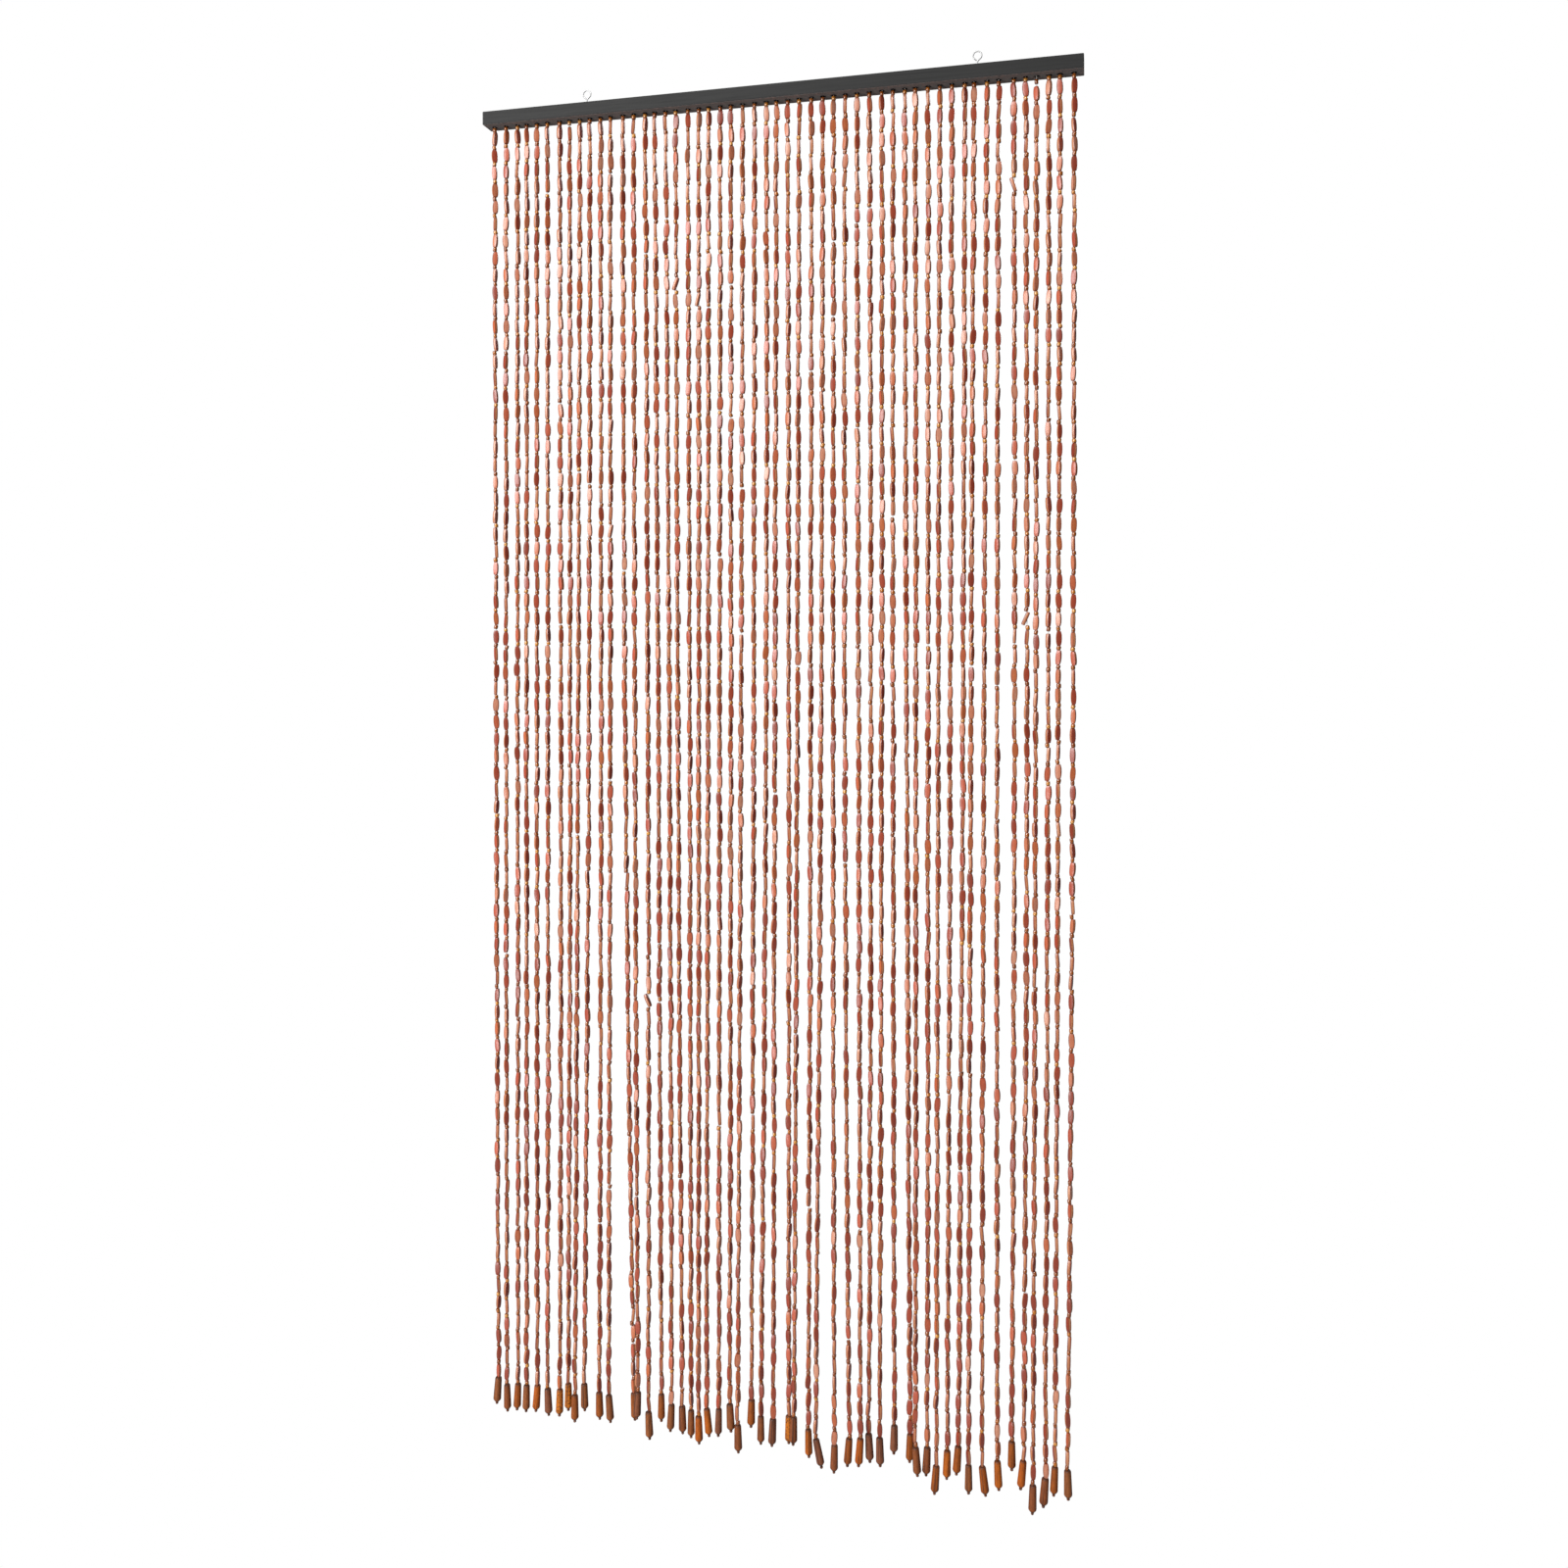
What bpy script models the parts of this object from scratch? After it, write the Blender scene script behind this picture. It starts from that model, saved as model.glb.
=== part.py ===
"""Bead curtain with its hanging rail, for Blender 4.5. Metres, +Z up, front towards -Y.

A painted wooden rail hangs from two steel screw eyes. Strings of wooden beads hang from holes
drilled through the rail. Their threads run on in a groove in the rail's top, which ties each
group of strings together between the screw eyes.

The origin is where the hooks bear: inside the top of the eyes, at the middle of the rail.
"""

import math
from typing import NamedTuple

import bmesh
import bpy
from mathutils import Matrix, Vector

MM = 0.001

# The rail
RAIL_LENGTH = 900 * MM
RAIL_DEPTH = 30 * MM
RAIL_HEIGHT = 20.5 * MM
RAIL_EDGE_ROUND = 1.2 * MM
RAIL_EDGE_STEPS = 2

# The holes that the strings hang from, and the groove above them
FIRST_HOLE = 17.5 * MM
HOLE_PITCH = 17.08 * MM
HOLE_RADIUS = 2.9 * MM
HOLE_SIDES = 12
GROOVE_WIDTH = 6.4 * MM
GROOVE_DEPTH = 2.2 * MM
CLEARANCE = 0.3 * MM

# The screw eyes: a ring of bent wire on a straight shank
EYE_WIRE = 1.9 * MM
EYE_RING_RADIUS = 6 * MM
EYE_NECK_BELOW_RING = 8 * MM
EYE_ABOVE_RAIL = 23.5 * MM
EYE_SHANK_IN_WOOD = 11 * MM
EYE_NECK_ROUND = 1.6 * MM
EYE_WIRE_STOP = 1.9 * MM
EYE_RING_STEPS = 18
EYE_BORE_SIDES = 12
EYE_LEFT = 165.6 * MM
EYE_RIGHT = 753.5 * MM

# One string of beads
THREAD_RADIUS = 1.0 * MM
BEAD_COLUMN_RADIUS = 3.7 * MM
BEADS_BELOW_RAIL = 1.2 * MM
BEAD_COLUMN_SHOULDER = 1.5 * MM

# The long bead and the knot that end a string
END_LENGTH = 44 * MM
END_NECK_RADIUS = 2.6 * MM
END_SHOULDER = 2.4 * MM
END_TOP_RADIUS = 4.2 * MM
END_BELLY_RADIUS = 5.4 * MM
END_BELLY = 36.5 * MM
END_FOOT_RADIUS = 2.6 * MM
END_FOOT = 40 * MM
KNOT_NECK_RADIUS = 1.3 * MM
KNOT_TOP = 40.4 * MM
KNOT_RADIUS = 2.2 * MM
KNOT_MIDDLE = 42.2 * MM

# Heights, with the hooks' bearing line at zero
RAIL_TOP = EYE_WIRE - EYE_ABOVE_RAIL
RAIL_BOTTOM = RAIL_TOP - RAIL_HEIGHT
GROOVE_FLOOR = RAIL_TOP - GROOVE_DEPTH
EYE_CENTRE = EYE_WIRE / 2 - EYE_RING_RADIUS

# Where along a string the middle reading is taken, and where its line is bent
MIDDLE_READING = 0.39
ROUTE_STEPS = (0.2, 0.39, 0.6, 0.8, 0.92)

WELD = 0.01 * MM


class BeadString(NamedTuple):
    """How one string hangs, in millimetres; sideways is towards +X, back is towards +Y."""

    hole: float  # its hole, from the even pitch
    middle: float  # sideways of its hole, two fifths of the way down
    low: float  # sideways of its hole, above the end bead
    tip: float  # sideways of its hole, at the knot
    back: float  # behind the rail's middle, above the end bead
    drop: float  # from the rail's underside to the knot's end


STRINGS = (
    # hole, middle, low, tip, back, drop
    BeadString(-4, 2, 6, 3, 1, 1970),
    BeadString(-2, 0, 2, 3, -1, 1978),
    BeadString(0, 0, 0, -2, 2, 1976),
    BeadString(-2, 0, 0, -1, 0, 1975),
    BeadString(-2, 0, 2, -1, -2, 1971),
    BeadString(-2, 1, 0, 2, 1, 1976),
    BeadString(1, 2, 1, 0, -1, 1973),
    BeadString(0, 1, -3, -3, 3, 1965),
    BeadString(0, -2, -7, -7, -3, 1977),
    BeadString(-1, -1, -10, -9, 2, 1961),
    BeadString(-1, 1, -2, -1, 0, 1969),
    BeadString(-2, 0, -2, 1, -2, 1970),
    BeadString(1, 2, 15, 17, 6, 1966),
    BeadString(1, 2, 9, 7, -6, 1956),
    BeadString(2, 4, 5, 7, 1, 1988),
    BeadString(0, 5, 11, 11, -1, 1957),
    BeadString(0, 5, 9, 7, 2, 1972),
    BeadString(-1, 3, 11, 12, -3, 1969),
    BeadString(1, 2, 4, 4, 3, 1977),
    BeadString(1, 0, 0, 1, -2, 1981),
    BeadString(-1, -1, -4, 0, 3, 1971),
    BeadString(0, -1, -2, -3, -1, 1966),
    BeadString(-1, 0, -2, 0, 1, 1958),
    BeadString(0, -2, -7, -6, -2, 1985),
    BeadString(1, -1, -5, -6, 2, 1947),
    BeadString(2, 0, -8, -8, -2, 1967),
    BeadString(0, -2, -5, -7, 0, 1969),
    BeadString(0, 1, 0, 0, 6, 1965),
    BeadString(0, -2, -7, -8, -5, 1959),
    BeadString(1, -1, -5, -4, 2, 1978),
    BeadString(1, -2, -10, -1, -3, 1987),
    BeadString(0, -1, 1, 0, 1, 1994),
    BeadString(0, -1, 6, 3, -1, 1980),
    BeadString(0, 2, 6, 3, -5, 1975),
    BeadString(1, 2, -2, 0, 5, 1973),
    BeadString(2, 0, -3, -2, -2, 1972),
    BeadString(1, 0, 2, 1, 1, 1953),
    BeadString(1, 2, 7, 6, 6, 1965),
    BeadString(-1, 1, 1, 4, -6, 1975),
    BeadString(0, 0, -1, -3, 1, 1977),
    BeadString(0, -2, -5, -8, -1, 2000),
    BeadString(0, -2, -7, -8, 2, 1978),
    BeadString(1, -2, -9, -12, -2, 1967),
    BeadString(-3, -4, -8, -8, 1, 1993),
    BeadString(-2, -4, -7, -2, -1, 1991),
    BeadString(-3, -2, -2, 0, 2, 1982),
    BeadString(1, 1, -3, -3, 0, 1950),
    BeadString(0, 2, -3, -7, -1, 1974),
    BeadString(-2, -1, -5, -6, 2, 2008),
    BeadString(-2, -1, -5, -8, -2, 1993),
    BeadString(-4, -2, -7, -9, 1, 1977),
    BeadString(-2, -1, -9, -8, -1, 1978),
)

# The three groups of strings, parted where the screw eyes stand in the groove's line
STRING_GROUPS = {
    "strings_left": range(0, 9),
    "strings_middle": range(9, 44),
    "strings_right": range(44, 52),
}


def clear_scene():
    """Remove whatever the scene holds."""
    for item in list(bpy.data.objects):
        bpy.data.objects.remove(item, do_unlink=True)


def new_collection(name):
    """Return a new collection linked to the scene."""
    collection = bpy.data.collections.new(name)
    bpy.context.scene.collection.children.link(collection)
    return collection


def new_material(name, colour, roughness, metallic):
    """Return a Principled material with one colour."""
    material = bpy.data.materials.new(name)
    material.use_nodes = True
    shader = material.node_tree.nodes["Principled BSDF"]
    shader.inputs["Base Color"].default_value = (*colour, 1)
    shader.inputs["Roughness"].default_value = roughness
    shader.inputs["Metallic"].default_value = metallic
    material.diffuse_color = (*colour, 1)
    return material


def new_object(name, mesh, collection, material=None):
    """Link a mesh into a collection as a named object, shaded smooth over its round faces."""
    item = bpy.data.objects.new(name, mesh)
    collection.objects.link(item)
    if material:
        mesh.materials.append(material)
    mesh.shade_smooth()
    mesh.set_sharp_from_angle(angle=math.radians(35))
    return item


def add_box(bm, low, high):
    """Add a box between two corners."""
    low = Vector(low)
    high = Vector(high)
    place = Matrix.Translation((low + high) / 2) @ Matrix.Diagonal((*(high - low), 1))
    bmesh.ops.create_cube(bm, size=1, matrix=place)


def add_rod(bm, x, low, high, radius, sides):
    """Add an upright cylinder at mid-depth, between two heights."""
    place = Matrix.Translation((x, 0, (low + high) / 2))
    bmesh.ops.create_cone(bm, cap_ends=True, segments=sides, radius1=radius, radius2=radius,
                          depth=high - low, matrix=place)


def mesh_of(name, bm):
    """Turn a bmesh into a mesh and free it."""
    mesh = bpy.data.meshes.new(name)
    bm.to_mesh(mesh)
    bm.free()
    return mesh


def hide(item):
    """Mark a cutter or a guide as a helper."""
    item.hide_render = True
    item.display_type = "WIRE"


def along_rail(distance):
    """Return the X of a place at this distance from the rail's left end."""
    return distance - RAIL_LENGTH / 2


def hole_x(index):
    """Return the X of a string's hole."""
    return along_rail(FIRST_HOLE + index * HOLE_PITCH) + STRINGS[index].hole * MM


def boolean(item, name, operation, other):
    """Add an exact Boolean modifier."""
    modifier = item.modifiers.new(name, "BOOLEAN")
    modifier.operation = operation
    modifier.solver = "EXACT"
    modifier.object = other


def build_rail(parts, helpers, material):
    """Model the rail: a rounded bar with its groove, string holes and screw bores cut out."""
    bm = bmesh.new()
    half_length = RAIL_LENGTH / 2
    half_depth = RAIL_DEPTH / 2
    add_box(bm, (-half_length, -half_depth, RAIL_BOTTOM), (half_length, half_depth, RAIL_TOP))
    rail = new_object("rail", mesh_of("rail", bm), parts, material)

    rounding = rail.modifiers.new("rounded edges", "BEVEL")
    rounding.width = RAIL_EDGE_ROUND
    rounding.segments = RAIL_EDGE_STEPS

    boolean(rail, "groove", "DIFFERENCE", groove_cutter(helpers))
    boolean(rail, "holes", "DIFFERENCE", hole_cutter(helpers))
    return rail


def groove_cutter(helpers):
    """Make the cutter for the groove's three stretches, one over each group of strings."""
    bm = bmesh.new()
    half_width = GROOVE_WIDTH / 2
    for group in STRING_GROUPS.values():
        low = (hole_x(group[0]) - half_width, -half_width, GROOVE_FLOOR)
        high = (hole_x(group[-1]) + half_width, half_width, RAIL_TOP + CLEARANCE)
        add_box(bm, low, high)
    cutter = new_object("groove cutter", mesh_of("groove cutter", bm), helpers)
    hide(cutter)
    return cutter


def hole_cutter(helpers):
    """Make the cutter for the string holes and for the bores that hold the eyes' shanks."""
    bm = bmesh.new()
    for index in range(len(STRINGS)):
        add_rod(bm, hole_x(index), RAIL_BOTTOM - CLEARANCE, GROOVE_FLOOR + CLEARANCE,
                HOLE_RADIUS, HOLE_SIDES)
    for distance in (EYE_LEFT, EYE_RIGHT):
        bore_floor = RAIL_TOP - EYE_SHANK_IN_WOOD - CLEARANCE
        add_rod(bm, along_rail(distance), bore_floor, RAIL_TOP + CLEARANCE,
                EYE_WIRE / 2 + CLEARANCE, EYE_BORE_SIDES)
    cutter = new_object("hole cutter", mesh_of("hole cutter", bm), helpers)
    hide(cutter)
    return cutter


def eye_route():
    """Return the wire's line in the plane of the ring, as (across, up) from the ring's centre.

    The shank rises to the neck and bends out to the right. The wire then goes round the ring
    and comes back down the left, to end about 0.3 mm clear of the neck.
    """
    neck = Vector((0, -EYE_NECK_BELOW_RING))
    slope = math.asin(EYE_RING_RADIUS / EYE_NECK_BELOW_RING)
    outwards = Vector((math.sin(slope), math.cos(slope)))
    shank_end = Vector((0, RAIL_TOP - EYE_SHANK_IN_WOOD - EYE_CENTRE))
    route = [shank_end, neck - Vector((0, EYE_NECK_ROUND))]
    route.append(neck + (outwards - Vector((0, 1))) * EYE_NECK_ROUND / 4)
    route.append(neck + outwards * EYE_NECK_ROUND)

    first = -slope
    sweep = math.pi + 2 * slope
    for step in range(EYE_RING_STEPS + 1):
        angle = first + sweep * step / EYE_RING_STEPS
        route.append(Vector((math.cos(angle), math.sin(angle))) * EYE_RING_RADIUS)

    route.append(neck + Vector((-outwards.x, outwards.y)) * EYE_WIRE_STOP)
    return route


def build_eye(name, distance, parts, helpers, material):
    """Model one screw eye as a bent wire, and turn it into a mesh with welded caps."""
    x = along_rail(distance)
    wire = new_curve(name, EYE_WIRE / 2, 2, helpers)
    points = [(Vector((x + across, 0, EYE_CENTRE + up)), 1) for across, up in eye_route()]
    add_spline(wire.data, points)
    return curve_to_mesh(wire, name, parts, material)


def new_curve(name, bevel_depth, bevel_resolution, collection):
    """Return an empty curve object with a round or square bevel and filled caps."""
    curve = bpy.data.curves.new(name + " curve", "CURVE")
    curve.dimensions = "3D"
    curve.twist_mode = "MINIMUM"
    curve.bevel_depth = bevel_depth
    curve.bevel_resolution = bevel_resolution
    curve.use_fill_caps = True
    item = bpy.data.objects.new(name + " curve", curve)
    collection.objects.link(item)
    return item


def add_spline(curve, points):
    """Add a spline with straight stretches through (place, radius factor) points."""
    spline = curve.splines.new("POLY")
    spline.points.add(len(points) - 1)
    for point, (place, factor) in zip(spline.points, points):
        point.co = (*place, 1)
        point.radius = factor


def curve_to_mesh(curve, name, collection, material=None):
    """Replace a curve object by a mesh object whose caps are welded on."""
    bpy.context.view_layer.update()
    evaluated = curve.evaluated_get(bpy.context.evaluated_depsgraph_get())
    mesh = bpy.data.meshes.new_from_object(evaluated)
    mesh.name = name
    mesh.materials.clear()
    bm = bmesh.new()
    bm.from_mesh(mesh)
    bmesh.ops.remove_doubles(bm, verts=bm.verts, dist=WELD)
    bmesh.ops.recalc_face_normals(bm, faces=bm.faces)
    bm.to_mesh(mesh)
    bm.free()
    item = new_object(name, mesh, collection, material)
    item.matrix_world = curve.matrix_world
    bpy.data.objects.remove(curve, do_unlink=True)
    return item


def string_line(index, share):
    """Return (X, Y) of a string's line at a share of its bead column's length.

    Sideways it is the parabola through the hole, the middle reading and the low reading. It
    leaves the rail's plane with the square of the share.
    """
    string = STRINGS[index]
    middle = MIDDLE_READING
    slope = (string.middle - string.low * middle ** 2) / (middle - middle ** 2)
    bend = string.low - slope
    sideways = slope * share + bend * share ** 2
    return hole_x(index) + sideways * MM, string.back * share ** 2 * MM


def string_points(index):
    """Return the (place, radius) points down one string, from the groove to its knot."""
    string = STRINGS[index]
    top_x = hole_x(index)
    beads_top = RAIL_BOTTOM - BEADS_BELOW_RAIL
    column = string.drop * MM - END_LENGTH - BEADS_BELOW_RAIL
    points = [
        (Vector((top_x, 0, GROOVE_FLOOR + GROOVE_DEPTH / 2)), THREAD_RADIUS),
        (Vector((top_x, 0, beads_top + BEADS_BELOW_RAIL / 2)), THREAD_RADIUS),
        (Vector((top_x, 0, beads_top)), THREAD_RADIUS * 2),
        (Vector((top_x, 0, beads_top - BEAD_COLUMN_SHOULDER)), BEAD_COLUMN_RADIUS),
    ]
    for share in ROUTE_STEPS:
        x, y = string_line(index, share)
        points.append((Vector((x, y, beads_top - share * column)), BEAD_COLUMN_RADIUS))

    x, y = string_line(index, 1)
    neck = Vector((x, y, beads_top - column))
    tip = Vector((top_x + string.tip * MM, y, neck.z - END_LENGTH))
    above = neck + (neck - tip) * BEAD_COLUMN_SHOULDER / END_LENGTH
    points.append((above, BEAD_COLUMN_RADIUS))
    profile = (
        (0, END_NECK_RADIUS),
        (END_SHOULDER, END_TOP_RADIUS),
        (END_BELLY, END_BELLY_RADIUS),
        (END_FOOT, END_FOOT_RADIUS),
        (KNOT_TOP, KNOT_NECK_RADIUS),
        (KNOT_MIDDLE, KNOT_RADIUS),
        (END_LENGTH, KNOT_NECK_RADIUS),
    )
    points += [(neck.lerp(tip, down / END_LENGTH), radius) for down, radius in profile]
    return points


def build_strings(name, group, parts, helpers, material):
    """Model a group of strings, each four-sided, joined to the thread run in its groove."""
    half_width = GROOVE_WIDTH / 2 - CLEARANCE
    low = (hole_x(group[0]) - half_width, -half_width, GROOVE_FLOOR + CLEARANCE)
    high = (hole_x(group[-1]) + half_width, half_width, RAIL_TOP - CLEARANCE)
    bm = bmesh.new()
    add_box(bm, low, high)
    thread_run = new_object(name, mesh_of(name, bm), parts, material)

    hanging = new_curve(name + " hanging", MM, 0, helpers)
    for index in group:
        points = [(place, radius / MM) for place, radius in string_points(index)]
        add_spline(hanging.data, points)
    strands = curve_to_mesh(hanging, name + " hanging", helpers)
    hide(strands)
    boolean(thread_run, "strings", "UNION", strands)
    return thread_run


def main():
    """Build every piece of the curtain."""
    clear_scene()
    parts = new_collection("bead curtain with hanging rail")
    helpers = new_collection("cutters and guides")
    paint = new_material("rail_paint", (0.065, 0.067, 0.065), 0.6, 0.0)
    steel = new_material("eye_steel", (0.62, 0.62, 0.60), 0.3, 1.0)
    wood = new_material("bead_wood", (0.42, 0.12, 0.07), 0.4, 0.0)

    build_rail(parts, helpers, paint)
    build_eye("eye_left", EYE_LEFT, parts, helpers, steel)
    build_eye("eye_right", EYE_RIGHT, parts, helpers, steel)
    for name, group in STRING_GROUPS.items():
        build_strings(name, group, parts, helpers, wood)


main()
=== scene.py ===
"""Looks of the bead curtain with its hanging rail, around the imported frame. Metres, +Z up.

The rail stays the frame's own solid and gets its paint. Everything that hangs or stands on it is
replaced by a finer piece at the same place: bent-wire screw eyes, threads, long flattened beads,
small round beads, end beads and stopper beads. Every bead is a closed form of its own, and the
beads of one section of strings are one joined mesh.
"""

from __future__ import annotations

import logging
import math
from dataclasses import dataclass, field
from enum import Enum

import bpy
import numpy as np
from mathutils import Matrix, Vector


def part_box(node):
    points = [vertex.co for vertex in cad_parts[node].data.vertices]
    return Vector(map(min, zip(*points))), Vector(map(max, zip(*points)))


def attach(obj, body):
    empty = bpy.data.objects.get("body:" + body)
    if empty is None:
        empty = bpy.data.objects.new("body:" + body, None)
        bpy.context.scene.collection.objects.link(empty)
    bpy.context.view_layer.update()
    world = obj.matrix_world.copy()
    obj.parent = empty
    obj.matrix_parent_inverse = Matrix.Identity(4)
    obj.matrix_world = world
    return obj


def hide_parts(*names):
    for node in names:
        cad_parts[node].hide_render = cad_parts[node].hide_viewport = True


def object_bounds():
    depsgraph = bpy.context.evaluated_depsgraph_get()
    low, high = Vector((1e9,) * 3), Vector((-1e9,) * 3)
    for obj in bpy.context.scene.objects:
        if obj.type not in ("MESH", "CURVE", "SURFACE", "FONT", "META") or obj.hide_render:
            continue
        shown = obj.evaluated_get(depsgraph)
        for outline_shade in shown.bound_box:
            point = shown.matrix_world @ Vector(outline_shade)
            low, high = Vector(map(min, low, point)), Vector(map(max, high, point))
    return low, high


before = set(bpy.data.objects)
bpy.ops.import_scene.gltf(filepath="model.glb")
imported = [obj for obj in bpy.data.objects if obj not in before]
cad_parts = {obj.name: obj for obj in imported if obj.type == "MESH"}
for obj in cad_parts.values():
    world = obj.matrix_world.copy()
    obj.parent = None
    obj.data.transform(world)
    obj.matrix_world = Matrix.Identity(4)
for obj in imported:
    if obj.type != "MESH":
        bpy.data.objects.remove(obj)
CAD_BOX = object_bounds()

Socket = bpy.types.NodeSocket
Triple = tuple[float, float, float]  # a place, a direction, a scale or a colour

LOG = logging.getLogger("bead curtain")

MM = 0.001
BODY = "root"
SEED = 5217
FLOOR_GAP = 0.3  # from the lowest bead to the floor, in metres

# Sizes that the strings share with the solids, in metres
FIRST_HOLE = 17.5 * MM
HOLE_PITCH = 17.08 * MM
GROOVE_DEPTH = 2.2 * MM
END_LENGTH = 42.6 * MM
MIDDLE_READING = 0.39


class Tone(Enum):
    """Wood of an end bead; the value is its place among the stops of the end beads' tints."""

    MAUVE = 0.0
    BROWN = 0.2
    TAN = 0.4
    RUST = 0.6
    ORANGE = 0.8
    MOTTLED = 1.0


@dataclass(frozen=True)
class Hang:
    """How one string hangs, in millimetres; sideways is towards +X, back is towards +Y."""

    hole: float  # its hole, from the even pitch
    middle: float  # sideways of its hole, two fifths of the way down
    low: float  # sideways of its hole, above the end bead
    tip: float  # sideways of its hole, at the stopper
    back: float  # behind the rail's middle, above the end bead
    drop: float  # from the rail's underside to the stopper's end
    tone: Tone  # of its end bead


HANGS = (
    # hole, middle, low, tip, back, drop, tone
    Hang(-4, 2, 6, 3, 1, 1970, Tone.TAN),
    Hang(-2, 0, 2, 3, -1, 1978, Tone.BROWN),
    Hang(0, 0, 0, -2, 2, 1976, Tone.RUST),
    Hang(-2, 0, 0, -1, 0, 1975, Tone.TAN),
    Hang(-2, 0, 2, -1, -2, 1971, Tone.ORANGE),
    Hang(-2, 1, 0, 2, 1, 1976, Tone.MAUVE),
    Hang(1, 2, 1, 0, -1, 1973, Tone.MOTTLED),
    Hang(0, 1, -3, -3, 3, 1965, Tone.MOTTLED),
    Hang(0, -2, -7, -7, -3, 1977, Tone.RUST),
    Hang(-1, -1, -10, -9, 2, 1961, Tone.TAN),
    Hang(-1, 1, -2, -1, 0, 1969, Tone.RUST),
    Hang(-2, 0, -2, 1, -2, 1970, Tone.TAN),
    Hang(1, 2, 15, 17, 6, 1966, Tone.RUST),
    Hang(1, 2, 9, 7, -6, 1956, Tone.MAUVE),
    Hang(2, 4, 5, 7, 1, 1988, Tone.TAN),
    Hang(0, 5, 11, 11, -1, 1957, Tone.RUST),
    Hang(0, 5, 9, 7, 2, 1972, Tone.TAN),
    Hang(-1, 3, 11, 12, -3, 1969, Tone.BROWN),
    Hang(1, 2, 4, 4, 3, 1977, Tone.TAN),
    Hang(1, 0, 0, 1, -2, 1981, Tone.ORANGE),
    Hang(-1, -1, -4, 0, 3, 1971, Tone.ORANGE),
    Hang(0, -1, -2, -3, -1, 1966, Tone.MAUVE),
    Hang(-1, 0, -2, 0, 1, 1958, Tone.TAN),
    Hang(0, -2, -7, -6, -2, 1985, Tone.BROWN),
    Hang(1, -1, -5, -6, 2, 1947, Tone.RUST),
    Hang(2, 0, -8, -8, -2, 1967, Tone.BROWN),
    Hang(0, -2, -5, -7, 0, 1969, Tone.MAUVE),
    Hang(0, 1, 0, 0, 6, 1965, Tone.MOTTLED),
    Hang(0, -2, -7, -8, -5, 1959, Tone.BROWN),
    Hang(1, -1, -5, -4, 2, 1978, Tone.ORANGE),
    Hang(1, -2, -10, -1, -3, 1987, Tone.MAUVE),
    Hang(0, -1, 1, 0, 1, 1994, Tone.BROWN),
    Hang(0, -1, 6, 3, -1, 1980, Tone.RUST),
    Hang(0, 2, 6, 3, -5, 1975, Tone.ORANGE),
    Hang(1, 2, -2, 0, 5, 1973, Tone.MAUVE),
    Hang(2, 0, -3, -2, -2, 1972, Tone.MAUVE),
    Hang(1, 0, 2, 1, 1, 1953, Tone.MAUVE),
    Hang(1, 2, 7, 6, 6, 1965, Tone.RUST),
    Hang(-1, 1, 1, 4, -6, 1975, Tone.BROWN),
    Hang(0, 0, -1, -3, 1, 1977, Tone.BROWN),
    Hang(0, -2, -5, -8, -1, 2000, Tone.RUST),
    Hang(0, -2, -7, -8, 2, 1978, Tone.ORANGE),
    Hang(1, -2, -9, -12, -2, 1967, Tone.RUST),
    Hang(-3, -4, -8, -8, 1, 1993, Tone.TAN),
    Hang(-2, -4, -7, -2, -1, 1991, Tone.RUST),
    Hang(-3, -2, -2, 0, 2, 1982, Tone.ORANGE),
    Hang(1, 1, -3, -3, 0, 1950, Tone.RUST),
    Hang(0, 2, -3, -7, -1, 1974, Tone.ORANGE),
    Hang(-2, -1, -5, -6, 2, 2008, Tone.BROWN),
    Hang(-2, -1, -5, -8, -2, 1993, Tone.BROWN),
    Hang(-4, -2, -7, -9, 1, 1977, Tone.RUST),
    Hang(-2, -1, -9, -8, -1, 1978, Tone.TAN),
)


class Group(Enum):
    """The three runs of strings, each one node of the frame."""

    LEFT = "strings_left"
    MIDDLE = "strings_middle"
    RIGHT = "strings_right"


@dataclass(frozen=True)
class Section:
    """A stretch of neighbouring strings whose beads are joined into one mesh of each kind."""

    number: int
    group: Group
    first: int
    last: int

    def strings(self) -> range:
        """Return the indices of the section's strings."""
        return range(self.first, self.last + 1)


SECTIONS = (
    Section(1, Group.LEFT, 0, 8),
    Section(2, Group.MIDDLE, 9, 17),
    Section(3, Group.MIDDLE, 18, 26),
    Section(4, Group.MIDDLE, 27, 35),
    Section(5, Group.MIDDLE, 36, 43),
    Section(6, Group.RIGHT, 44, 51),
)


@dataclass(frozen=True)
class Kink:
    """A long bead that stands askew where its thread is caught."""

    string: int  # counted from 1 at the left
    down: float  # below the rail, in millimetres
    lean: float  # degrees, its foot towards +X
    aside: float  # its middle off the string's line, in millimetres


KINKS = (
    # string, down, lean, aside
    Kink(47, 145, 19, -1.7),
    Kink(18, 257, -22, -0.3),
    Kink(20, 283, -14, -1.6),
    Kink(12, 632, -11, -0.6),
    Kink(48, 752, -24, -2.2),
    Kink(15, 1330, 24, -0.8),
    Kink(26, 1594, 6, -0.8),
)

# Strings whose first bead hangs a little below its hole, in millimetres
SLACK = {24: 0.8, 38: 1.0, 46: 1.2, 49: 3.2}


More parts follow.
